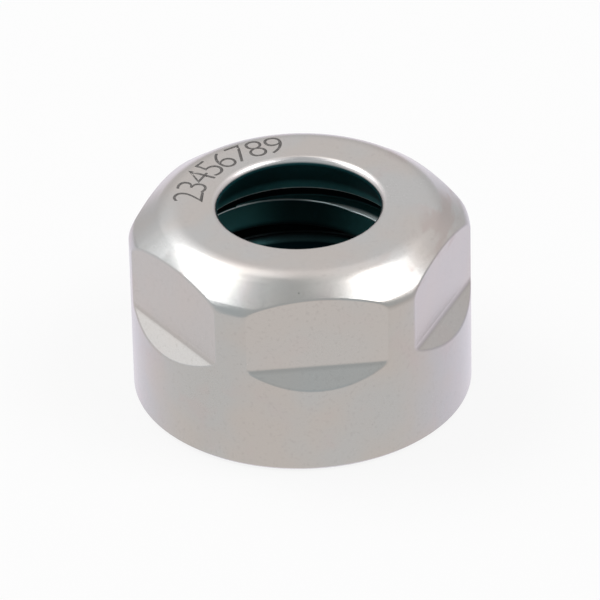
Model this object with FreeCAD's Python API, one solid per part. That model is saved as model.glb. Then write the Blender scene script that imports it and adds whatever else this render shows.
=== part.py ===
"""Clamping nut for a size 16 spring collet.

One turned and milled steel piece. It stands on its open threaded end, with
the nose and its mouth at the top. The origin is the middle of the bottom
face, +Z runs up through the nose, and one wrench flat faces -Y.
All sizes are in millimetres and all angles in degrees.
"""

import FreeCAD
import Part
import math
import os

# Spindle thread, cut as a plain bore at its minor diameter
thread_diameter = 22.0
thread_pitch = 1.5
thread_entry_margin = 0.15      # how far the entry cone opens past the thread
relief_depth = 0.3              # how far the run-out groove goes past the thread
relief_width = 2.6

# Outside
skirt_wall = 3.0                # from the thread's major diameter to the skirt
body_height = 17.0
skirt_chamfer = 0.3
nose_width = 3.135              # across the sloping nose, before rounding
nose_angle = 36.5               # below the level face
nose_round = 3.0                # between the face and the slope
nose_foot_round = 1.4           # between the slope and the skirt

# Wrench flats
flat_count = 6
flat_depth = 1.3                # below the skirt, so 25.4 across two flats
flat_length = 7.77              # from the face plane down to the flat's foot
ledge_angle = 49.8              # of the milled ledge below level

# Collet seat
mouth_diameter = 13.4
mouth_round = 0.5
mouth_land = 0.1
seat_half_angle = 30.0
seat_end_diameter = 17.4

# Extraction lip, with a second bore to one side that lets the collet in
lip_diameter = 16.8
lip_thickness = 2.1
lip_offset = 1.45
lip_offset_direction = -132.4   # turned about +Z from the flat that faces -Y
groove_depth = 1.5              # from the lip out to the undercut's floor
groove_width = 1.44

# Sizes that follow
thread_minor = thread_diameter - 1.0825 * thread_pitch
body_diameter = thread_diameter + 2 * skirt_wall
body_radius = body_diameter / 2
minor_radius = thread_minor / 2
entry_radius = thread_diameter / 2 + thread_entry_margin
relief_radius = thread_diameter / 2 + relief_depth
lip_radius = lip_diameter / 2
groove_radius = lip_radius + groove_depth
mouth_radius = mouth_diameter / 2
seat_end_radius = seat_end_diameter / 2
face_radius = body_radius - nose_width
flat_radius = body_radius - flat_depth

nose_foot_height = body_height - nose_width * math.tan(math.radians(nose_angle))
seat_top = body_height - mouth_round - mouth_land
seat_length = (seat_end_radius - mouth_radius) / math.tan(math.radians(seat_half_angle))
groove_top = seat_top - seat_length
lip_top = groove_top - groove_width
lip_bottom = lip_top - lip_thickness
relief_bottom = lip_bottom - relief_width
thread_top = relief_bottom - (relief_radius - minor_radius)
thread_bottom = entry_radius - minor_radius
flat_foot_height = body_height - flat_length


def rounded_outline(corners):
    """Closed wire in the XZ plane through (radius, height, rounding) corners."""
    points = [FreeCAD.Vector(radius, 0, height) for radius, height, rounding in corners]
    count = len(points)
    starts = []
    ends = []
    arcs = []
    for index, (radius, height, rounding) in enumerate(corners):
        here = points[index]
        if rounding == 0:
            starts.append(here)
            ends.append(here)
            arcs.append(None)
            continue
        back = (points[index - 1] - here).normalize()
        ahead = (points[(index + 1) % count] - here).normalize()
        half = back.getAngle(ahead) / 2
        reach = rounding / math.tan(half)
        inward = (back + ahead).normalize()
        middle = here + inward * (rounding / math.sin(half) - rounding)
        start = here + back * reach
        end = here + ahead * reach
        starts.append(start)
        ends.append(end)
        arcs.append(Part.Arc(start, middle, end).toShape())
    edges = []
    for index in range(count):
        if arcs[index]:
            edges.append(arcs[index])
        following = starts[(index + 1) % count]
        edges.append(Part.LineSegment(ends[index], following).toShape())
    return Part.Wire(edges)


def turned_blank():
    """The nut as it leaves the lathe: nose, skirt, seat, undercut, lip, relief and bore."""
    corners = [
        (minor_radius, thread_bottom, 0),
        (entry_radius, 0, 0),
        (body_radius - skirt_chamfer, 0, 0),
        (body_radius, skirt_chamfer, 0),
        (body_radius, nose_foot_height, nose_foot_round),
        (face_radius, body_height, nose_round),
        (mouth_radius, body_height, mouth_round),
        (mouth_radius, seat_top, 0),
        (seat_end_radius, groove_top, 0),
        (groove_radius, groove_top, 0),
        (groove_radius, lip_top, 0),
        (lip_radius, lip_top, 0),
        (lip_radius, lip_bottom, 0),
        (relief_radius, lip_bottom, 0),
        (relief_radius, relief_bottom, 0),
        (minor_radius, thread_top, 0),
    ]
    section = Part.Face(rounded_outline(corners))
    return section.revolve(FreeCAD.Vector(0, 0, 0), FreeCAD.Vector(0, 0, 1), 360)


def flat_cutter():
    """What the mill takes away for the flat that faces -Y: the flat and its sloping ledge."""
    beyond = body_radius + 1
    above = body_height + 1
    ledge_end = flat_foot_height - (beyond - flat_radius) * math.tan(math.radians(ledge_angle))
    outline = Part.makePolygon([
        FreeCAD.Vector(-body_radius, -flat_radius, above),
        FreeCAD.Vector(-body_radius, -beyond, above),
        FreeCAD.Vector(-body_radius, -beyond, ledge_end),
        FreeCAD.Vector(-body_radius, -flat_radius, flat_foot_height),
        FreeCAD.Vector(-body_radius, -flat_radius, above),
    ])
    return Part.Face(outline).extrude(FreeCAD.Vector(body_diameter, 0, 0))


def lip_pocket():
    """The off-centre second bore through the lip."""
    angle = math.radians(lip_offset_direction)
    centre = FreeCAD.Vector(
        lip_offset * math.sin(angle), -lip_offset * math.cos(angle), lip_bottom)
    return Part.makeCylinder(lip_radius, lip_thickness, centre)


def collet_nut():
    """The finished nut."""
    nut = turned_blank()
    for number in range(flat_count):
        cutter = flat_cutter()
        cutter.rotate(FreeCAD.Vector(0, 0, 0), FreeCAD.Vector(0, 0, 1), 360 / flat_count * number)
        nut = nut.cut(cutter)
    return nut.cut(lip_pocket())


os.makedirs("parts", exist_ok=True)
nut = collet_nut()
nut.exportStep("parts/collet_nut.step")
print("collet_nut", "valid", nut.isValid(), "solids", len(nut.Solids))
extents = nut.optimalBoundingBox()
print("size", round(extents.XLength, 3), round(extents.YLength, 3), round(extents.ZLength, 3))
print("volume", round(nut.Volume, 1), "mm3")
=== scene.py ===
# %% [markdown]
# # A collet nut in satin steel
#
# The object is one piece of hardened steel. It was turned on a lathe, six
# wrench flats were milled on it, and a thread was cut in its open end. The
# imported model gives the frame: its box, its one body and its one node. This
# lesson builds the same nut again as a fine mesh, with rounded edges and a
# real helical thread, and gives it its finish.

# %% Load the frame
import math
import bmesh
import bpy
from mathutils import Matrix, Vector
from mathutils.kdtree import KDTree


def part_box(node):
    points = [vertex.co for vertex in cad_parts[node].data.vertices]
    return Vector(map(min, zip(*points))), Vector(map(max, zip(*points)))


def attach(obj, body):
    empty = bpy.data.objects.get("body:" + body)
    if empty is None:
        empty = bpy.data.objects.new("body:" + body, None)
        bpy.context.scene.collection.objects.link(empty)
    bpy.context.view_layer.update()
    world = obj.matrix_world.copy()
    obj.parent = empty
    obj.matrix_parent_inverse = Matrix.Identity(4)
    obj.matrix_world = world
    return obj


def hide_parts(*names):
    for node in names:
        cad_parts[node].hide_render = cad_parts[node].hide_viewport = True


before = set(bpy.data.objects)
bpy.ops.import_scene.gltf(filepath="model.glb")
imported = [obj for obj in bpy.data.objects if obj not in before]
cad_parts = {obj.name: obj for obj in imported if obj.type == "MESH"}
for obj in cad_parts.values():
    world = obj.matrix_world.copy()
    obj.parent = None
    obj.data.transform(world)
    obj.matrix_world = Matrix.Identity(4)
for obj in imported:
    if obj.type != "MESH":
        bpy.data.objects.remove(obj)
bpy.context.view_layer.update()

MM = 0.001
NODE = "collet_nut"
low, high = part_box(NODE)
body_radius = (high[0] - low[0]) / 2
body_height = high[2] - low[2]
print("skirt radius", round(body_radius / MM, 3), "mm, height", round(body_height / MM, 3), "mm")

# %% [markdown]
# ## The camera
#
# The photograph was taken with a long lens from a little above, so the far
# rim is almost as wide as the near one. A camera is placed on a ring around
# the nut: it looks level along +Y first, is tipped down, rolled a little and
# then turned about the nut's axis. Writing that as a product of simple
# matrices keeps each number meaningful.

# %% Place the camera
CAMERA_DISTANCE = 520.3 * MM
CAMERA_TIP = math.radians(33.03)
CAMERA_ROLL = math.radians(-1.29)
CAMERA_TURN = math.radians(-5.43)
CAMERA_AIM = Vector((-0.09 * MM, 0, 7.46 * MM))
LENS_MM = 379.0

back_off = Vector((0, -math.cos(CAMERA_TIP), math.sin(CAMERA_TIP))) * CAMERA_DISTANCE
camera_data = bpy.data.cameras.new("photo_camera")
camera_data.lens = LENS_MM
camera_data.sensor_width = 36
camera_data.clip_start = 10 * MM
camera = bpy.data.objects.new("photo_camera", camera_data)
bpy.context.scene.collection.objects.link(camera)
camera.matrix_world = (
    Matrix.Rotation(CAMERA_TURN, 4, "Z")
    @ Matrix.Translation(CAMERA_AIM + back_off)
    @ Matrix.Rotation(math.pi / 2 - CAMERA_TIP, 4, "X")
    @ Matrix.Rotation(CAMERA_ROLL, 4, "Z")
)
bpy.context.scene.camera = camera
bpy.context.scene.view_settings.view_transform = "Standard"
print("camera at", [round(x / MM, 1) for x in camera.matrix_world.translation], "mm")

# %% [markdown]
# ## Shader maths as plain sums
#
# Finishes below are mixed from patterns: one minus a mask, a pattern times
# an amount. Wiring Math nodes by hand hides such sums, so a small class
# wraps a socket and lets Python's own signs add the nodes. Every other node
# comes from one method that takes its type, its settings and its values.

# %% A wrapper for sockets and one method for nodes
class Wire:
    """A socket that can stand in a sum."""

    def __init__(self, recipe, socket):
        self.recipe = recipe
        self.socket = socket

    def maths(self, operation, first, second):
        node = self.recipe.node("ShaderNodeMath", {"operation": operation}, {0: first, 1: second})
        return self.recipe.wire(node)

    def __add__(self, other):
        return self.maths("ADD", self, other)

    def __radd__(self, other):
        return self.maths("ADD", other, self)

    def __sub__(self, other):
        return self.maths("SUBTRACT", self, other)

    def __rsub__(self, other):
        return self.maths("SUBTRACT", other, self)

    def __mul__(self, other):
        return self.maths("MULTIPLY", self, other)

    def __rmul__(self, other):
        return self.maths("MULTIPLY", other, self)

    def over(self, level):
        return self.maths("GREATER_THAN", self, level)

    def under(self, level):
        return self.maths("LESS_THAN", self, level)

    def most(self, other):
        return self.maths("MAXIMUM", self, other)


class Recipe:
    """A node tree that is filled step by step."""

    def __init__(self, owner):
        owner.use_nodes = True
        self.tree = owner.node_tree
        self.tree.nodes.clear()

    def node(self, kind, settings=None, values=None):
        node = self.tree.nodes.new(kind)
        for name, setting in (settings or {}).items():
            setattr(node, name, setting)
        for name, value in (values or {}).items():
            if isinstance(value, Wire):
                self.tree.links.new(value.socket, node.inputs[name])
            else:
                node.inputs[name].default_value = value
        return node

    def wire(self, node, output=0):
        return Wire(self, node.outputs[output])

    def noise(self, place, scale, detail):
        node = self.node(
            "ShaderNodeTexNoise", {}, {"Vector": place, "Scale": scale, "Detail": detail})
        return self.wire(node)

    def dot(self, first, second):
        node = self.node("ShaderNodeVectorMath", {"operation": "DOT_PRODUCT"}, {0: first, 1: second})
        return self.wire(node, "Value")

    def smooth_step(self, value, start, end, low_value=0.0, high_value=1.0):
        """Goes softly from one value to another as the input goes from start to end."""
        node = self.node(
            "ShaderNodeMapRange",
            {"interpolation_type": "SMOOTHSTEP"},
            {"Value": value, "From Min": start, "From Max": end,
             "To Min": low_value, "To Max": high_value})
        return self.wire(node)

    def patches(self, place, scale, detail, start, end):
        """Soft-edged patches, where a noise rises from one level to another."""
        return self.smooth_step(self.noise(place, scale, detail), start, end)

    def stretched(self, place, scale):
        return self.wire(self.node("ShaderNodeMapping", {}, {"Vector": place, "Scale": scale}))

    def length(self, place):
        node = self.node("ShaderNodeVectorMath", {"operation": "LENGTH"}, {0: place})
        return self.wire(node, "Value")

    def hump(self, value, middle, reach):
        """1 where the value is in the middle, fading to 0 on both sides."""
        return self.smooth_step(self.size_of(value - middle), 0, reach, 1, 0)

    def size_of(self, value):
        """The value without its sign."""
        return self.wire(self.node("ShaderNodeMath", {"operation": "ABSOLUTE"}, {0: value}))

    def most_of(self, values):
        most = values[0]
        for value in values[1:]:
            most = most.most(value)
        return most

    def bands(self, value, stops):
        """A colour that runs through (value, colour) stops, the values from 0 to 1."""
        node = self.node("ShaderNodeValToRGB", {}, {"Fac": value})
        elements = node.color_ramp.elements
        elements[0].position, elements[0].color = stops[0]
        elements[1].position, elements[1].color = stops[-1]
        for position, colour in stops[1:-1]:
            elements.new(position).color = colour
        return self.wire(node)

    def mix_colour(self, factor, first, second):
        node = self.node(
            "ShaderNodeMix", {"data_type": "RGBA"}, {"Factor": factor, "A": first, "B": second})
        return self.wire(node, "Result")


print("maths wrapper ready")

# %% [markdown]
# ## The room
#
# Metal shows its surroundings more than its own colour. Around this nut
# there is a pale room, a white floor and a set of soft lamps. The camera
# sees room and floor as plain white, while as lighting they stay at a plain
# level.
#
# Only reflections see the room's shades. Its dim side, over and behind the
# camera, is slightly cool and darkens towards the top, and it draws the grey
# patch in the middle of the nose. The open side is white overhead and falls
# off towards the horizon. Low on the left all of it stays white, so that the
# nut keeps a bright outline there.

# %% Light-path helpers and the room
WHITE = (1, 1, 1, 1)
ROOM_LIGHT = 0.42
ROOM_WHITE = 1.0
DIM_SIDE_TURN = CAMERA_TURN - math.radians(30)
DIM_SIDE_FADE = (-0.42, 0.12)
DIM_SIDE_LEVEL = 0.73
DIM_TOP_FADE = (0.72, 0.96)
DIM_TOP_LEVEL = 0.66
DIM_TINT = (0.915, 0.995, 1.015, 1)
HORIZON_FADE = (0.10, 0.50)
HORIZON_LEVEL = 0.74
LIT_LEFT_FADE = (0.70, 0.97)
LIT_LEFT_TOP_FADE = (0.25, 0.60)

left_hand = Matrix.Rotation(CAMERA_TURN, 3, "Z") @ Vector((-1, 0, 0))
dim_side = Matrix.Rotation(DIM_SIDE_TURN, 3, "Z") @ Vector((0, -1, 0))


def seen_as_background(recipe):
    """1 for rays from the camera, from reflections and through clear things."""
    path = recipe.node("ShaderNodeLightPath")
    seen = recipe.wire(path, "Is Camera Ray").most(recipe.wire(path, "Is Glossy Ray"))
    return seen.most(recipe.wire(path, "Is Transmission Ray"))


def seen_in_reflection(recipe):
    return recipe.wire(recipe.node("ShaderNodeLightPath"), "Is Glossy Ray")


world = bpy.data.worlds.new("pale_room")
bpy.context.scene.world = world
room = Recipe(world)
direction = room.wire(room.node("ShaderNodeTexCoord"), "Generated")
height = room.dot(direction, (0, 0, 1))
dim_side_share = room.smooth_step(room.dot(direction, dim_side), *DIM_SIDE_FADE)
dim_level = room.smooth_step(height, *DIM_TOP_FADE, DIM_SIDE_LEVEL, DIM_TOP_LEVEL)
open_level = room.smooth_step(height, *HORIZON_FADE, HORIZON_LEVEL, 1)
lit_left = room.smooth_step(room.dot(direction, left_hand), *LIT_LEFT_FADE) * (
    1 - room.smooth_step(height, *LIT_LEFT_TOP_FADE))
dimmed = dim_side_share * dim_level + (1 - dim_side_share) * open_level
dimmed = dimmed + lit_left * (1 - dimmed)
level = seen_as_background(room) * (ROOM_WHITE - ROOM_LIGHT) + ROOM_LIGHT
level = level * (1 - seen_in_reflection(room) * (1 - dimmed))
tinted = dim_side_share * (1 - lit_left) * seen_in_reflection(room)
room_light = room.node("ShaderNodeBackground", {}, {
    "Color": room.mix_colour(tinted, WHITE, DIM_TINT), "Strength": level})
room.node("ShaderNodeOutputWorld", {}, {"Surface": room.wire(room_light)})
print("room has", len(world.node_tree.nodes), "nodes")

# %% [markdown]
# ## The floor
#
# For the camera the floor is white paper that keeps the nut's soft shadow.
# In reflections it glows by itself: faintly warm towards the camera, and
# lilac at the sides and beyond, which gives the skirt its faint lilac. It is
# darker where it is seen at a low angle out to the right, and nearly black
# under the nut, where no light gets in. It lies a hair lower than the nut,
# so that the two never share a plane.

# %% The floor
FLOOR_SIZE = 4.0
FLOOR_DROP = 0.02 * MM
FLOOR_COLOUR = (0.80, 0.80, 0.80, 1)
FLOOR_WHITENING = 0.85
FLOOR_NEAR_TINT = (1.01, 1.00, 0.98, 1)
FLOOR_FAR_TINT = (1.08, 1.05, 1.15, 1)
FLOOR_FAR_TURN = CAMERA_TURN - math.radians(12)
FLOOR_FAR_FADE = (-0.75, 0.25)
GRAZING_SIDE_FADE = (0.2, 0.8)
GRAZING_HEIGHT_FADE = (0, 0.50)
GRAZING_LEVEL = 0.74
UNDER_NUT_LEVEL = 0.02
UNDER_NUT_FADE = (body_radius - 3 * MM, body_radius)

far_side = Matrix.Rotation(FLOOR_FAR_TURN, 3, "Z") @ Vector((0, 1, 0))

floor_mesh = bpy.data.meshes.new("floor")
sheet = bmesh.new()
bmesh.ops.create_grid(
    sheet, x_segments=1, y_segments=1, size=FLOOR_SIZE / 2,
    matrix=Matrix.Translation((0, 0, -FLOOR_DROP)))
sheet.to_mesh(floor_mesh)
sheet.free()
floor = bpy.data.objects.new("floor", floor_mesh)
bpy.context.scene.collection.objects.link(floor)
floor_material = bpy.data.materials.new("white_floor")
paper = Recipe(floor_material)
matt = paper.node("ShaderNodeBsdfDiffuse", {}, {"Color": FLOOR_COLOUR})
glow = paper.node("ShaderNodeEmission", {}, {"Color": WHITE, "Strength": 1.0})
whitened = paper.node("ShaderNodeMixShader", {}, {
    0: seen_as_background(paper) * FLOOR_WHITENING, 1: paper.wire(matt), 2: paper.wire(glow)})
towards_viewer = paper.wire(paper.node("ShaderNodeNewGeometry"), "Incoming")
far_view = 1 - paper.smooth_step(paper.dot(towards_viewer, far_side), *FLOOR_FAR_FADE)
off_axis = paper.length(paper.wire(paper.node("ShaderNodeTexCoord"), "Object"))
grazing_right = paper.smooth_step(paper.dot(towards_viewer, left_hand), *GRAZING_SIDE_FADE) * (
    1 - paper.smooth_step(paper.dot(towards_viewer, (0, 0, 1)), *GRAZING_HEIGHT_FADE))
beside_nut = paper.smooth_step(off_axis, *UNDER_NUT_FADE, UNDER_NUT_LEVEL, 1)
sheen = paper.node("ShaderNodeEmission", {}, {
    "Color": paper.mix_colour(far_view, FLOOR_NEAR_TINT, FLOOR_FAR_TINT),
    "Strength": beside_nut * (1 - grazing_right * (1 - GRAZING_LEVEL))})
mirrored = paper.node("ShaderNodeMixShader", {}, {
    0: seen_in_reflection(paper), 1: paper.wire(whitened), 2: paper.wire(sheen)})
paper.node("ShaderNodeOutputMaterial", {}, {"Surface": paper.wire(mirrored)})
floor_mesh.materials.append(floor_material)
print("floor is", FLOOR_SIZE, "m wide and", FLOOR_DROP / MM, "mm under the nut")

# %% [markdown]
# ## The lamps
#
# Two large panels hang high on the left and the right, and draw the two
# white patches on the nose. A soft lamp's patch has no hard end, so each has
# a wide dim panel around it for its spill, and a glow towards the middle.
# The other panels on the left draw what shows on that side only: the tail of
# the patch and its foot, a window far out, and a fade into the grey.
#
# All of them lie level, and their places and sizes are shares of their
# height, because a reflection only tells directions. Where panels in one
# plane overlap, a reflected ray counts only one of them. So each new panel
# hangs a few millimetres lower than the one before.

# %% The soft lamps
LAMP_HEIGHT = 0.9
LAMP_STEP = 0.003


def soft_lamp(name, across, away, width, length, turn, brightness):
    """A level panel overhead, placed and sized in shares of its height over the floor."""
    hung = len(bpy.data.lights)
    data = bpy.data.lights.new(name, "AREA")
    data.shape = "RECTANGLE"
    data.size = width * LAMP_HEIGHT
    data.size_y = length * LAMP_HEIGHT
    data.energy = brightness * math.pi * data.size * data.size_y
    lamp = bpy.data.objects.new(name, data)
    bpy.context.scene.collection.objects.link(lamp)
    lamp.matrix_world = (
        Matrix.Rotation(CAMERA_TURN, 4, "Z")
        @ Matrix.Translation((
            across * LAMP_HEIGHT, away * LAMP_HEIGHT, LAMP_HEIGHT - hung * LAMP_STEP))
        @ Matrix.Rotation(math.radians(turn), 4, "Z"))


soft_lamp("left_lamp", -0.82, 0.325, 0.86, 0.84, -11, 2.9)
soft_lamp("left_spill", -0.86, 0.60, 1.40, 1.30, -8, 0.42)
soft_lamp("left_glow", -0.32, 0.46, 0.50, 0.56, 0, 0.78)
soft_lamp("left_tail", -1.60, 1.40, 0.90, 0.80, 0, 0.34)
soft_lamp("left_window", -2.45, 0.55, 1.50, 1.20, 0, 0.62)
soft_lamp("left_foot", -1.15, -0.28, 0.55, 0.45, 0, 1.20)
soft_lamp("left_fade", -0.33, -0.25, 0.34, 0.40, 0, 0.20)
soft_lamp("right_lamp", 0.79, -0.19, 0.80, 0.74, 0, 2.9)
soft_lamp("right_spill", 1.45, -0.25, 1.70, 1.00, -12, 0.45)
soft_lamp("right_glow", 0.56, 0.16, 0.98, 1.18, 0, 0.32)
print(len(bpy.data.lights), "lamps hung")

# %% [markdown]
# ## The nut's sizes
#
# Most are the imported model's own. The mouth's rounding is a little larger
# here, which makes the cone below it a hair wider than 30 degrees, and the
# extraction lip reaches 0.4 mm lower, which narrows the run-out groove by as
# much. Both are what the photograph shows. Only this mesh has broken edges
# and a cut thread. Heights inside follow from the top down: the mouth, the
# cone that seats the collet, the undercut, the lip and the thread's run-out
# groove.

# %% Sizes of the nut
THREAD_RADIUS = 11.0 * MM
THREAD_PITCH = 1.5 * MM
THREAD_DEPTH = 0.54127 * THREAD_PITCH
MINOR_RADIUS = THREAD_RADIUS - THREAD_DEPTH
ENTRY_RADIUS = 11.15 * MM
RELIEF_RADIUS = 11.3 * MM
RELIEF_WIDTH = 2.2 * MM

SKIRT_CHAMFER = 0.3 * MM
NOSE_WIDTH = 3.135 * MM
NOSE_ANGLE = math.radians(36.5)
NOSE_ROUND = 3.0 * MM
NOSE_FOOT_ROUND = 1.4 * MM

MOUTH_RADIUS = 6.7 * MM
MOUTH_ROUND = 0.62 * MM
MOUTH_LAND = 0.02 * MM
SEAT_END_RADIUS = 8.7 * MM
SEAT_END_HEIGHT = 12.936 * MM

LIP_RADIUS = 8.4 * MM
LIP_THICKNESS = 2.5 * MM
LIP_OFFSET = 1.45 * MM
LIP_DIRECTION = math.radians(-132.4)
GROOVE_RADIUS = 9.9 * MM
GROOVE_WIDTH = 1.44 * MM

EDGE_BREAK = 0.06 * MM

face_radius = body_radius - NOSE_WIDTH
nose_foot = body_height - NOSE_WIDTH * math.tan(NOSE_ANGLE)
seat_top = body_height - MOUTH_ROUND - MOUTH_LAND
lip_top = SEAT_END_HEIGHT - GROOVE_WIDTH
lip_bottom = lip_top - LIP_THICKNESS
relief_bottom = lip_bottom - RELIEF_WIDTH
thread_top = relief_bottom - (RELIEF_RADIUS - MINOR_RADIUS)
print("lip from", round(lip_bottom / MM, 2), "to", round(lip_top / MM, 2), "mm")

# %% [markdown]
# ## The steel outside
#
# The nut is hard steel with a fine satin skin, a warm light grey. Close up
# the skin isn't even: cloudy tints of a few percent, a fine grain that
# changes the gloss, tiny pits, the lathe's faint rings on the turned faces
# and the mill's strokes on the flats. Faint brown streaks stain the right of
# the nose, and the corner over each ledge is a little darker. The rounded
# edge of the mouth is painted brighter, a painted highlight that widens its glint.
#
# All of it is drawn from object coordinates and from one attribute, which
# marks the milled faces, so it stays on the metal. The patterns are noises,
# each given by its scale, its detail and the two levels between which a patch
# fades in.

# %% Where a point lies on the nut
CLOUD_NOISE = (150.0, 2.0)
CLOUD_TINTS = (0.35, 0.65)
GRAIN_NOISE = (9000.0, 2.0)


class Spot:
    """A point's place on the nut, and the patterns that outside and inside share."""

    def __init__(self, steel):
        self.place = steel.wire(steel.node("ShaderNodeTexCoord"), "Object")
        parts = steel.node("ShaderNodeSeparateXYZ", {}, {0: self.place})
        self.across, self.along, self.up = (steel.wire(parts, letter) for letter in "XYZ")
        self.radius = steel.length(steel.wire(steel.node(
            "ShaderNodeCombineXYZ", {}, {0: self.across, 1: self.along, 2: 0.0})))
        self.clouds = steel.noise(self.place, *CLOUD_NOISE)
        self.tint = steel.smooth_step(self.clouds, *CLOUD_TINTS)
        self.grain = steel.noise(self.place, *GRAIN_NOISE)


print("grain repeats about", GRAIN_NOISE[0], "times a metre")

# %% Satin steel outside
STEEL_WARM = (0.482, 0.448, 0.425, 1)
STEEL_COOL = (0.462, 0.455, 0.450, 1)
STEEL_ROSY = (0.485, 0.430, 0.420, 1)
STEEL_MILLED = (0.500, 0.470, 0.452, 1)
STAIN_TONE = (0.430, 0.372, 0.352, 1)
PIT_TONE = (0.16, 0.14, 0.13, 1)
RIM_HIGHLIGHT_TONE = (0.55, 0.515, 0.51, 1)
INSIDE_SHOULDER = 13 * MM

BLUSH_PATCHES = (330.0, 3.0, 0.52, 0.74)
SPECKLE_PATCHES = (3600.0, 1.0, 0.58, 0.72)
STREAK_PATCHES = (520.0, 2.0, 0.50, 0.66)
STREAK_STRETCH = (1.0, 0.35, 2.2)
PITTED_PATCHES = (420.0, 1.0, 0.60, 0.68)
PIT_SCALE = 700.0
PIT_EDGE = (0.02, 0.08)
RING_NOISE = (3000.0, 1.0)
STROKE_NOISE = (5200.0, 1.0)
STROKE_STRETCH = (0.12, 0.12, 1.0)

BLUSH_SHARE = 0.5
MILLED_SHARE = 0.6
LEDGE_CORNER_DARK_SHARE = 0.12
SPECKLE_SHARE = 0.07
STAIN_SHARE = 0.7
PIT_SHARE = 0.5

LEDGE_CORNER_HEIGHT = body_height - 7.82 * MM
LEDGE_CORNER_REACH = 0.34 * MM
LEDGE_CORNER_OUT = 12.95 * MM
NOSE_RADIUS_FADE = (9.6 * MM, 11 * MM)
NOSE_HEIGHT_FADE = (14.4 * MM, 15.2 * MM)
STAIN_FADE = (3 * MM, 9 * MM)
RIM_HIGHLIGHT_FADE = (6.94 * MM, 7.24 * MM)

BUMP_STRENGTH = 0.35
BUMP_DEPTH = 0.004 * MM
MARK_WEIGHT = 1.2
STEEL_ROUGHNESS = 0.25
GRAIN_GLOSS = 0.08
CLOUD_GLOSS = 0.06


def outside_skin(steel, spot, milled):
    """The colour of the bare skin, laid on in thin layers."""
    skin = steel.mix_colour(spot.tint, STEEL_WARM, STEEL_COOL)
    blush = steel.patches(spot.place, *BLUSH_PATCHES)
    skin = steel.mix_colour(blush * BLUSH_SHARE, skin, STEEL_ROSY)
    skin = steel.mix_colour(milled * MILLED_SHARE, skin, STEEL_MILLED)

    out_of_axis = steel.most_of([
        steel.size_of(steel.dot(spot.place, (math.sin(turn), -math.cos(turn), 0)))
        for turn in (0, math.pi / 3, 2 * math.pi / 3)])
    # The milled faces are darkened a little in the corner over each ledge.
    corner = steel.hump(spot.up, LEDGE_CORNER_HEIGHT, LEDGE_CORNER_REACH)
    ledge_corner_dark = milled * corner * out_of_axis.under(LEDGE_CORNER_OUT)
    skin = steel.mix_colour(ledge_corner_dark * LEDGE_CORNER_DARK_SHARE, skin, PIT_TONE)
    speckle = steel.patches(spot.place, *SPECKLE_PATCHES)
    skin = steel.mix_colour(speckle * SPECKLE_SHARE, skin, PIT_TONE)

    streaks = steel.patches(steel.stretched(spot.place, STREAK_STRETCH), *STREAK_PATCHES)
    on_nose = steel.smooth_step(spot.radius, *NOSE_RADIUS_FADE) * steel.smooth_step(
        spot.up, *NOSE_HEIGHT_FADE)
    stained = steel.smooth_step(spot.across, *STAIN_FADE) * on_nose
    return steel.mix_colour(stained * streaks * STAIN_SHARE, skin, STAIN_TONE)


def satin_outside(steel, spot):
    milled = steel.wire(steel.node("ShaderNodeAttribute", {"attribute_name": "milled"}), "Fac")
    skin = outside_skin(steel, spot, milled)
    dots = steel.wire(steel.node(
        "ShaderNodeTexVoronoi", {}, {"Vector": spot.place, "Scale": PIT_SCALE}), "Distance")
    pits = (1 - steel.smooth_step(dots, *PIT_EDGE)) * steel.patches(spot.place, *PITTED_PATCHES)
    skin = steel.mix_colour(pits * PIT_SHARE, skin, PIT_TONE)
    # Painted highlight: the rounded edge of the mouth is given a brighter colour.
    rim_highlight = (1 - steel.smooth_step(spot.radius, *RIM_HIGHLIGHT_FADE)) * spot.up.over(INSIDE_SHOULDER)
    skin = steel.mix_colour(rim_highlight, skin, RIM_HIGHLIGHT_TONE)

    turned_place = steel.wire(steel.node(
        "ShaderNodeCombineXYZ", {}, {0: spot.radius, 1: 0.0, 2: spot.up}))
    rings = steel.noise(turned_place, *RING_NOISE)
    strokes = steel.noise(steel.stretched(spot.place, STROKE_STRETCH), *STROKE_NOISE)
    marks = rings + milled * (strokes - rings)
    bump = steel.node("ShaderNodeBump", {}, {
        "Strength": BUMP_STRENGTH, "Distance": BUMP_DEPTH,
        "Height": spot.grain + marks * MARK_WEIGHT - pits})
    gloss = (spot.grain - 0.5) * GRAIN_GLOSS + (spot.clouds - 0.5) * CLOUD_GLOSS
    return steel.wire(steel.node("ShaderNodeBsdfPrincipled", {}, {
        "Base Color": skin, "Metallic": 1.0, "Normal": steel.wire(bump),
        "Roughness": gloss + STEEL_ROUGHNESS}))


print("satin finish ready")

# %% [markdown]
# ## The blackened inside, with painted shade and highlights
#
# The inside was blackened: nearly black with a blue-green cast. A colour
# ramp by height makes it a little lighter at the foot of the seat, on the
# lip and on the thread. The same ramp paints shade as near-black bands in
# the undercut, just above the thread and on the run-out groove's wall under
# the lip. It also paints a lighter band on the groove's sloping foot and a
# thin highlight line low on its wall. Below the lip's face the middle of the
# wall is painted darker than its sides, as painted shade.
#
# Pale painted highlights lie where the collet would rub the blackening off:
# the end of the seat, the inner part of the lip's face and the lip's upper
# edge. The edge is palest on the left, and towards the right it is painted
# as bare metal, a painted glint.

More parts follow.
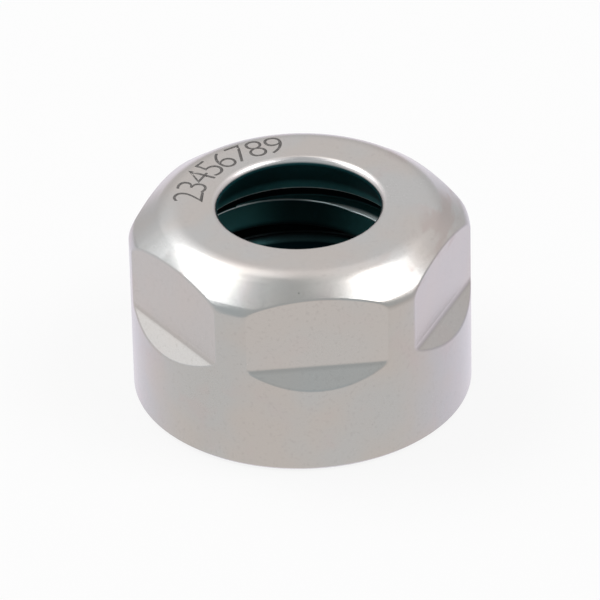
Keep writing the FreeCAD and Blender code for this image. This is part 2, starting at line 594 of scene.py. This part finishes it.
# %% Blackened steel inside, with painted shade and highlights
# Heights in mm up the bore. Painted shade: the near-black bands at 5.7 to 6.28, 6.85, 7.15 to 9.0
# and 11.6 to 12.8. Painted highlights: the lighter band at 6.42 and the pale line at 7.0.
BORE_BANDS_WITH_PAINTED_LIGHT = [
    (0.0, (0.030, 0.080, 0.085, 1)),
    (5.5, (0.030, 0.080, 0.085, 1)),
    (5.7, (0.001, 0.004, 0.004, 1)),
    (6.28, (0.002, 0.008, 0.008, 1)),
    (6.42, (0.100, 0.340, 0.350, 1)),
    (6.62, (0.060, 0.210, 0.220, 1)),
    (6.74, (0.010, 0.030, 0.032, 1)),
    (6.85, (0.0005, 0.001, 0.001, 1)),
    (7.00, (0.240, 0.300, 0.320, 1)),
    (7.15, (0.0005, 0.001, 0.001, 1)),
    (9.0, (0.002, 0.006, 0.006, 1)),
    (9.5, (0.070, 0.270, 0.280, 1)),
    (10.4, (0.060, 0.230, 0.236, 1)),
    (11.4, (0.050, 0.200, 0.205, 1)),
    (11.6, (0.001, 0.003, 0.003, 1)),
    (12.8, (0.001, 0.003, 0.003, 1)),
    (12.95, (0.110, 0.420, 0.440, 1)),
    (13.6, (0.065, 0.310, 0.330, 1)),
    (14.3, (0.006, 0.060, 0.066, 1)),
    (17.0, (0.012, 0.080, 0.092, 1)),
]
BORE_DARKEST = (0.001, 0.006, 0.008, 1)
BORE_EDGE_TINT = (0.45, 0.50, 0.52, 1)
BORE_ROUGHNESS = 0.36
BORE_GLOSS = 0.10
BORE_METALLIC = 0.35
BARE_BELOW_FADE = (6.24 * MM, 6.40 * MM)
WALL_DARKEST = 1.3 * MM
WALL_SIDE_FADE = (1.0 * MM, 6.5 * MM)
WALL_MIDDLE_SHADE = 0.85
CLOUD_DULLNESS = 0.4

RUBBED_HIGHLIGHT_TONE = (0.92, 1.0, 1.0, 1)
HIGHLIGHT_RADIUS = 9.87 * MM
SEAT_EDGE_HEIGHT = 12.94 * MM
SEAT_EDGE_REACH = 0.18 * MM
LIP_FACE_HEIGHT = 11.496 * MM
LIP_FACE_REACH = 0.02 * MM
LIP_FACE_FADE = (LIP_RADIUS + 0.15 * MM, LIP_RADIUS + 0.70 * MM)
LIP_EDGE_START = 0.004 * MM
LIP_EDGE_FADE = 0.03 * MM
LIP_EDGE_WIDTH = 0.12 * MM
LIP_EDGE_TONE = (0.86, 0.94, 0.94, 1)
LIP_EDGE_LEFT_TO_RIGHT = (-5 * MM, -2 * MM, 1.0, 0.25)
EDGE_GLINT_FADE = (0.5 * MM, 3 * MM)


def blackened_inside_with_painted_light(steel, spot):
    stops = [(height * MM / body_height, colour) for height, colour in BORE_BANDS_WITH_PAINTED_LIGHT]
    black = steel.bands(spot.up * (1 / body_height), stops)
    # Painted shade: below the lip's face the middle of the wall is darker than its sides; the clouds
    # add random dark patches too.
    aside = steel.size_of(spot.across - WALL_DARKEST)
    painted_dark_middle = (1 - steel.smooth_step(aside, *WALL_SIDE_FADE)) * spot.up.under(LIP_FACE_HEIGHT)
    middle_shade_and_clouds = (painted_dark_middle * WALL_MIDDLE_SHADE).most(spot.tint * CLOUD_DULLNESS)
    black = steel.mix_colour(middle_shade_and_clouds, black, BORE_DARKEST)

    # Painted highlights: the seat's end edge, the lip's face and the lip's upper edge get a pale
    # tone where the collet would rub the blackening off.
    seat_edge = steel.hump(spot.up, SEAT_EDGE_HEIGHT, SEAT_EDGE_REACH)
    lip_face = steel.hump(spot.up, LIP_FACE_HEIGHT, LIP_FACE_REACH) * (
        1 - steel.smooth_step(spot.radius, *LIP_FACE_FADE))
    below_face = LIP_FACE_HEIGHT - spot.up
    lip_edge = steel.smooth_step(below_face, LIP_EDGE_START, LIP_EDGE_FADE) * (
        1 - steel.smooth_step(below_face, LIP_EDGE_WIDTH, LIP_EDGE_WIDTH + LIP_EDGE_FADE))
    edge_highlight = lip_edge * steel.smooth_step(spot.across, *LIP_EDGE_LEFT_TO_RIGHT)
    reached = spot.radius.under(HIGHLIGHT_RADIUS)
    rubbed_highlight = seat_edge.most(edge_highlight).most(lip_face) * reached
    # Towards the right the lip's edge is painted as pale bare metal, a painted glint.
    bare_edge_glint = lip_edge * steel.smooth_step(spot.across, *EDGE_GLINT_FADE) * reached

    colour = steel.mix_colour(rubbed_highlight, black, RUBBED_HIGHLIGHT_TONE)
    metallic = steel.smooth_step(spot.up, *BARE_BELOW_FADE, 1, BORE_METALLIC)
    return steel.wire(steel.node("ShaderNodeBsdfPrincipled", {}, {
        "Base Color": steel.mix_colour(bare_edge_glint, colour, LIP_EDGE_TONE),
        "Metallic": ((1 - rubbed_highlight) * metallic).most(bare_edge_glint),
        "Roughness": (spot.grain - 0.5) * BORE_GLOSS + BORE_ROUGHNESS,
        "Specular Tint": BORE_EDGE_TINT}))


print("blackened finish has", len(BORE_BANDS_WITH_PAINTED_LIGHT), "bands")

# %% [markdown]
# ## Both finishes in one material
#
# One mesh carries both finishes, so a mask decides between them. The inside
# is whatever lies within a wide radius, which holds the thread and its
# run-out groove, below the shoulder, and within a narrower one, which holds
# the undercut, above it. The blackening fades out by height on the rounded
# edge of the mouth, so the face stays bare, and so does the bottom.

# %% The nut's material
INSIDE_RADIUS = 11.6 * MM
INSIDE_NARROW = 10.1 * MM
INSIDE_LOW = 0.02 * MM
MOUTH_EDGE_FADE = (body_height - 0.48 * MM, body_height - 0.26 * MM)


def satin_steel():
    material = bpy.data.materials.new("satin_steel")
    steel = Recipe(material)
    spot = Spot(steel)
    wide_part = spot.radius.under(INSIDE_RADIUS) * spot.up.under(INSIDE_SHOULDER)
    within = wide_part.most(spot.radius.under(INSIDE_NARROW)) * spot.up.over(INSIDE_LOW)
    below_mouth = 1 - steel.smooth_step(spot.up, *MOUTH_EDGE_FADE)
    surface = steel.node("ShaderNodeMixShader", {}, {
        0: within * below_mouth, 1: satin_outside(steel, spot), 2: blackened_inside_with_painted_light(steel, spot)})
    steel.node("ShaderNodeOutputMaterial", {}, {"Surface": steel.wire(surface)})
    return material


steel_material = satin_steel()
print("steel has", len(steel_material.node_tree.nodes), "nodes")

# %% [markdown]
# ## The turned blank
#
# On the lathe the nut is a single outline turned about the axis: skirt,
# sloping nose, level face, mouth, the cone that seats the collet, an
# undercut, the extraction lip, the thread's run-out groove and the bore.
# Each corner of the outline is given with its rounding. An arc is made by
# spinning a single vertex about the arc's centre, and then the whole outline
# is spun about the nut's axis.

# %% Draw an outline with rounded corners
ARC_STEP = math.radians(9)


def draw_outline(mesh, corners):
    """A closed outline in the XZ plane through (distance, height, rounding) corners."""
    points = [Vector((distance, 0, height)) for distance, height, _ in corners]
    chain = []
    for index, (_, _, rounding) in enumerate(corners):
        here = points[index]
        if not rounding:
            chain.append([mesh.verts.new(here)])
            continue
        back = (points[index - 1] - here).normalized()
        ahead = (points[(index + 1) % len(points)] - here).normalized()
        half = back.angle(ahead) / 2
        turn = math.pi - 2 * half
        known = set(mesh.verts)
        first = mesh.verts.new(here + back * rounding / math.tan(half))
        bmesh.ops.spin(
            mesh, geom=[first], cent=here + (back + ahead).normalized() * rounding / math.sin(half),
            axis=ahead.cross(back), angle=turn, steps=max(3, round(turn / ARC_STEP)))
        chain.append([vert for vert in mesh.verts if vert not in known])
    for index, arc in enumerate(chain):
        following = chain[(index + 1) % len(chain)]
        mesh.edges.new((arc[-1], following[0]))
    return mesh.verts[:] + mesh.edges[:]


def make_object(name, mesh):
    """Turn a bmesh into an object in the scene, its normals pointing outwards."""
    bmesh.ops.recalc_face_normals(mesh, faces=mesh.faces)
    data = bpy.data.meshes.new(name)
    mesh.to_mesh(data)
    mesh.free()
    piece = bpy.data.objects.new(name, data)
    bpy.context.scene.collection.objects.link(piece)
    return piece


print("outline helper ready")

# %% Spin the blank
TURN_STEPS = 210
corners = [
    (MINOR_RADIUS, ENTRY_RADIUS - MINOR_RADIUS, 0),
    (ENTRY_RADIUS, 0, EDGE_BREAK),
    (body_radius - SKIRT_CHAMFER, 0, EDGE_BREAK),
    (body_radius, SKIRT_CHAMFER, EDGE_BREAK),
    (body_radius, nose_foot, NOSE_FOOT_ROUND),
    (face_radius, body_height, NOSE_ROUND),
    (MOUTH_RADIUS, body_height, MOUTH_ROUND),
    (MOUTH_RADIUS, seat_top, 0),
    (SEAT_END_RADIUS, SEAT_END_HEIGHT, EDGE_BREAK),
    (GROOVE_RADIUS, SEAT_END_HEIGHT, 0),
    (GROOVE_RADIUS, lip_top, EDGE_BREAK),
    (LIP_RADIUS, lip_top, 0),
    (LIP_RADIUS, lip_bottom, 0),
    (RELIEF_RADIUS, lip_bottom, 0),
    (RELIEF_RADIUS, relief_bottom, 0),
    (MINOR_RADIUS, thread_top, 0),
]
blank = bmesh.new()
bmesh.ops.spin(
    blank, geom=draw_outline(blank, corners), cent=(0, 0, 0), axis=(0, 0, 1),
    angle=2 * math.pi, steps=TURN_STEPS, use_merge=True)
nut = make_object("nut", blank)
print("blank has", len(nut.data.polygons), "faces")

# %% [markdown]
# ## Milling and threading
#
# A mill's path is a solid that is taken away. Each wrench flat has a sloping
# ledge under it, where the cutter ran out, and the cutter's own rounded
# corner stays between the two. One cutter is drawn from the side and extruded
# across, and copies are turned about the axis. The same way a second bore, a
# little to one side, opens the extraction lip, and a long coil with the
# thread's 60 degree section cuts the thread.

# %% The six milling cutters
FLAT_COUNT = 6
FLAT_DISTANCE = body_radius - 1.3 * MM
FLAT_FOOT = body_height - 7.77 * MM
LEDGE_ANGLE = math.radians(49.8)
LEDGE_ROUND = 0.9 * MM
CUTTER_HALF_WIDTH = 6.6 * MM
BEYOND = 1.0 * MM


def milling_cutters():
    mesh = bmesh.new()
    outside = body_radius + BEYOND
    drop = (outside - FLAT_DISTANCE) * math.tan(LEDGE_ANGLE)
    side = draw_outline(mesh, [
        (FLAT_DISTANCE, body_height + BEYOND, 0),
        (FLAT_DISTANCE, FLAT_FOOT, LEDGE_ROUND),
        (outside, FLAT_FOOT - drop, 0),
        (outside, body_height + BEYOND, 0),
    ])
    bmesh.ops.contextual_create(mesh, geom=side)
    bmesh.ops.translate(mesh, verts=mesh.verts, vec=(0, -CUTTER_HALF_WIDTH, 0))
    wide = bmesh.ops.extrude_face_region(mesh, geom=mesh.faces[:])
    moved = [item for item in wide["geom"] if isinstance(item, bmesh.types.BMVert)]
    bmesh.ops.translate(mesh, verts=moved, vec=(0, 2 * CUTTER_HALF_WIDTH, 0))
    bmesh.ops.rotate(mesh, verts=mesh.verts, matrix=Matrix.Rotation(-math.pi / 2, 3, "Z"))
    one = mesh.verts[:] + mesh.edges[:] + mesh.faces[:]
    for number in range(1, FLAT_COUNT):
        copy = bmesh.ops.duplicate(mesh, geom=one)["geom"]
        verts = [item for item in copy if isinstance(item, bmesh.types.BMVert)]
        turn = Matrix.Rotation(2 * math.pi * number / FLAT_COUNT, 3, "Z")
        bmesh.ops.rotate(mesh, verts=verts, matrix=turn)
    return make_object("milling_cutters", mesh)


LIP_CUTTER_SPARE = 0.8 * MM


def lip_cutter():
    mesh = bmesh.new()
    place = Vector((
        LIP_OFFSET * math.sin(LIP_DIRECTION), -LIP_OFFSET * math.cos(LIP_DIRECTION),
        (lip_bottom + lip_top) / 2))
    bmesh.ops.create_cone(
        mesh, cap_ends=True, segments=TURN_STEPS, radius1=LIP_RADIUS, radius2=LIP_RADIUS,
        depth=LIP_THICKNESS + LIP_CUTTER_SPARE, matrix=Matrix.Translation(place))
    return make_object("lip_cutter", mesh)


THREAD_STEPS = 96
THREAD_TURNS = 5.6
THREAD_START = -0.9 * MM
THREAD_CLEAR = 0.1 * MM
THREAD_ROOT_HALF = THREAD_PITCH / 16
THREAD_HALF_ANGLE = math.radians(30)


def thread_cutter():
    mesh = bmesh.new()
    inner = THREAD_RADIUS - MINOR_RADIUS + THREAD_CLEAR
    mouth_half = THREAD_ROOT_HALF + inner * math.tan(THREAD_HALF_ANGLE)
    section = draw_outline(mesh, [
        (THREAD_RADIUS, THREAD_START + THREAD_ROOT_HALF, 0),
        (THREAD_RADIUS, THREAD_START - THREAD_ROOT_HALF, 0),
        (THREAD_RADIUS - inner, THREAD_START - mouth_half, 0),
        (THREAD_RADIUS - inner, THREAD_START + mouth_half, 0),
    ])
    steps = round(THREAD_STEPS * THREAD_TURNS)
    first_cap = bmesh.ops.contextual_create(mesh, geom=section)["faces"]
    bmesh.ops.spin(
        mesh, geom=section + first_cap, cent=(0, 0, 0), axis=(0, 0, 1),
        dvec=(0, 0, THREAD_PITCH / THREAD_STEPS), angle=2 * math.pi * THREAD_TURNS, steps=steps)
    return make_object("thread_cutter", mesh)


def cut_away(piece, cutter):
    """Take a cutter's solid out of a piece and keep the result as its mesh."""
    modifier = piece.modifiers.new("cut", "BOOLEAN")
    modifier.object = cutter
    modifier.operation = "DIFFERENCE"
    modifier.solver = "EXACT"
    bpy.context.view_layer.update()
    cut_piece = piece.evaluated_get(bpy.context.evaluated_depsgraph_get())
    result = bpy.data.meshes.new_from_object(cut_piece)
    piece.modifiers.clear()
    piece.data = result
    bpy.data.objects.remove(cutter)


for make_cutter in (milling_cutters, lip_cutter, thread_cutter):
    cut_away(nut, make_cutter())
    print(make_cutter.__name__, "leaves", len(nut.data.polygons), "faces")

# %% [markdown]
# ## Breaking the edges
#
# No machined edge is perfectly sharp: a light deburring leaves a thin round,
# and each of these catches a line of light. The edges around the flats and
# the lip are picked by where they lie and how sharply their faces meet, and
# get a small bevel. Then the normals are weighted by face area, so that a
# broad face stays flat up to its thin rounded border.

# %% Bevel the milled edges and the lip
FLAT_EDGE_BREAK = 0.15 * MM
LIP_EDGE_BREAK = 0.12 * MM
FLAT_ROOM = 0.21 * MM
LIP_ROOM = 0.17 * MM
FLAT_EDGE_ANGLE = math.radians(18)
LIP_EDGE_ANGLE = math.radians(60)
SMOOTH_ANGLE = math.radians(32)
FLAT_MARGIN = 0.1 * MM
FLATS_ABOVE = 5 * MM
CLOSE_UP_SHARE = 0.7
MERGE_REACH = 0.01 * MM
SQUARE_WITHIN = math.radians(0.5)
SKIRT_MARGIN = 0.02 * MM
LEAST_MILLED_AREA = 0.5 * MM ** 2


def at_the_flats(radius, height):
    return radius > FLAT_DISTANCE - FLAT_MARGIN and height > FLATS_ABOVE


def at_the_lip(radius, height):
    at_a_side = min(abs(height - lip_top), abs(height - lip_bottom)) < MERGE_REACH
    return at_a_side and radius < GROOVE_RADIUS - MERGE_REACH


def sharp_edges(mesh, least_angle, where):
    return [
        edge for edge in mesh.edges
        if len(edge.link_faces) == 2 and edge.calc_face_angle() > least_angle
        and all(where(vert.co.to_2d().length, vert.co.z) for vert in edge.verts)]


def sort_by_rank(parts, place):
    ranks = {part: rank for rank, part in enumerate(sorted(parts, key=place))}
    parts.sort(key=ranks.get)
    parts.index_update()


def put_in_order(mesh):
    """Sort by place, because a cut or a bevel leaves its parts in another order each run."""
    sort_by_rank(mesh.verts, lambda vert: vert.co[:])
    for parts in (mesh.edges, mesh.faces):
        sort_by_rank(parts, lambda part: sorted(vert.index for vert in part.verts))


def make_room(mesh, edges, reach):
    """Close up short edges, and merge points that lie beside them within a bevel's reach."""
    ends = {vert for edge in edges for vert in edge.verts}
    ends = sorted(ends, key=lambda vert: vert.co[:])
    bmesh.ops.remove_doubles(mesh, verts=ends, dist=reach * CLOSE_UP_SHARE)
    ends = [vert for vert in ends if vert.is_valid]
    tree = KDTree(len(ends))
    for index, vert in enumerate(ends):
        tree.insert(vert.co, index)
    tree.balance()
    kept = set(ends)
    merged = {}
    for vert in mesh.verts:
        _, index, distance = tree.find(vert.co)
        if vert not in kept and distance < reach:
            merged[vert] = ends[index]
    bmesh.ops.weld_verts(mesh, targetmap=merged)


def break_edges(mesh, least_angle, where, width, reach):
    put_in_order(mesh)
    make_room(mesh, sharp_edges(mesh, least_angle, where), reach)
    chosen = sharp_edges(mesh, least_angle, where)
    bmesh.ops.bevel(
        mesh, geom=chosen, offset=width, offset_type="OFFSET", affect="EDGES", segments=3,
        profile=0.5, material=-1, clamp_overlap=False)
    print(len(chosen), "edges bevelled")


def is_milled(face):
    """1 for the faces that the mill left: the flats, their ledges and the rounds between."""
    middle = face.calc_center_median()
    facing = face.normal.to_2d().angle_signed(Vector((0, -1)), 0) % (math.pi / 3)
    square_on = min(facing, math.pi / 3 - facing) < SQUARE_WITHIN
    off_axis = middle.to_2d().length
    inside_skirt = FLAT_DISTANCE - FLAT_MARGIN < off_axis < body_radius - SKIRT_MARGIN
    return float(square_on and inside_skirt and face.calc_area() > LEAST_MILLED_AREA)


worked = bmesh.new()
worked.from_mesh(nut.data)
put_in_order(worked)
bmesh.ops.remove_doubles(worked, verts=worked.verts, dist=MERGE_REACH)
break_edges(worked, FLAT_EDGE_ANGLE, at_the_flats, FLAT_EDGE_BREAK, FLAT_ROOM)
break_edges(worked, LIP_EDGE_ANGLE, at_the_lip, LIP_EDGE_BREAK, LIP_ROOM)
milled_layer = worked.faces.layers.float.new("milled")
for face in worked.faces:
    face.smooth = True
    face[milled_layer] = is_milled(face)
for edge in worked.edges:
    edge.smooth = not edge.is_manifold or edge.calc_face_angle() < SMOOTH_ANGLE
open_edges = sum(not edge.is_manifold for edge in worked.edges)
worked.to_mesh(nut.data)
worked.free()
weighting = nut.modifiers.new("even_faces", "WEIGHTED_NORMAL")
weighting.keep_sharp = True
nut.data.materials.clear()
nut.data.materials.append(steel_material)
print("nut has", len(nut.data.polygons), "faces,", open_edges, "open edges")

# %% [markdown]
# ## A plain row of numbers
#
# Eight small dark digits are etched in an arc around the face. Each is a text
# object made into a mesh, thinned, turned about the nut's axis and laid on
# the face. A digit's top reaches the rounding at the face's edge, so its
# points are set down onto that rounding by the circle's formula.

# %% Digits around the face
DIGITS = "23456789"
DIGIT_HEIGHT = 2.5 * MM
DIGIT_FOOT_RADIUS = 7.85 * MM
DIGIT_FIRST = math.radians(-77)
DIGIT_PITCH = math.radians(10)
DIGIT_THINNING = 0.016
DIGIT_PROUD = 0.004 * MM
DIGIT_DEPTH = 0.03 * MM
DIGIT_LONG_EDGE = 0.5 * MM
MARK_TONE = (0.085, 0.078, 0.075, 1)
MARK_WORN_TONE = (0.17, 0.16, 0.155, 1)
MARK_GRAIN = (5000.0, 2.0)


def marking_material():
    material = bpy.data.materials.new("etched_mark")
    ink = Recipe(material)
    place = ink.wire(ink.node("ShaderNodeTexCoord"), "Object")
    speckle = ink.noise(place, *MARK_GRAIN)
    colour = ink.mix_colour(ink.smooth_step(speckle, 0.4, 0.7), MARK_TONE, MARK_WORN_TONE)
    surface = ink.node("ShaderNodeBsdfPrincipled", {}, {
        "Base Color": colour, "Metallic": 0.6, "Roughness": (speckle - 0.5) * 0.2 + 0.55})
    ink.node("ShaderNodeOutputMaterial", {}, {"Surface": ink.wire(surface)})
    return material


def digit_mesh(digit):
    text = bpy.data.curves.new("digit", "FONT")
    text.body = digit
    text.align_x = "CENTER"
    text.offset = -DIGIT_THINNING
    text.resolution_u = 6
    writer = bpy.data.objects.new("digit", text)
    mesh = bmesh.new()
    mesh.from_mesh(writer.to_mesh())
    bpy.data.objects.remove(writer)
    return mesh


marking_mesh = bmesh.new()
face_flat_end = face_radius - NOSE_ROUND * math.tan(NOSE_ANGLE / 2)
for number, digit in enumerate(DIGITS):
    figure = digit_mesh(digit)
    tall = max(vert.co.y for vert in figure.verts) - min(vert.co.y for vert in figure.verts)
    size = DIGIT_HEIGHT / tall
    turn = Matrix.Rotation(-(DIGIT_FIRST + number * DIGIT_PITCH), 4, "Z")
    foot = Matrix.Translation((0, DIGIT_FOOT_RADIUS, body_height - DIGIT_DEPTH))
    bmesh.ops.transform(
        figure, verts=figure.verts, matrix=turn @ foot @ Matrix.Scale(size, 4))
    long_edges = [edge for edge in figure.edges if edge.calc_length() > DIGIT_LONG_EDGE]
    bmesh.ops.subdivide_edges(figure, edges=long_edges, cuts=3)
    raised = bmesh.ops.extrude_face_region(figure, geom=figure.faces[:])["geom"]
    tops = [item for item in raised if isinstance(item, bmesh.types.BMVert)]
    bmesh.ops.translate(figure, verts=tops, vec=(0, 0, DIGIT_DEPTH + DIGIT_PROUD))
    for vert in figure.verts:
        past = max(0, vert.co.to_2d().length - face_flat_end)
        vert.co.z -= NOSE_ROUND - math.sqrt(NOSE_ROUND ** 2 - past ** 2)
    single = bpy.data.meshes.new("digit")
    figure.to_mesh(single)
    figure.free()
    marking_mesh.from_mesh(single)
marking = make_object("marking", marking_mesh)
marking.data.materials.append(marking_material())
print("marking has", len(marking.data.polygons), "faces")

# %% Hand over
for piece in (nut, marking):
    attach(piece, "root")
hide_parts(NODE)
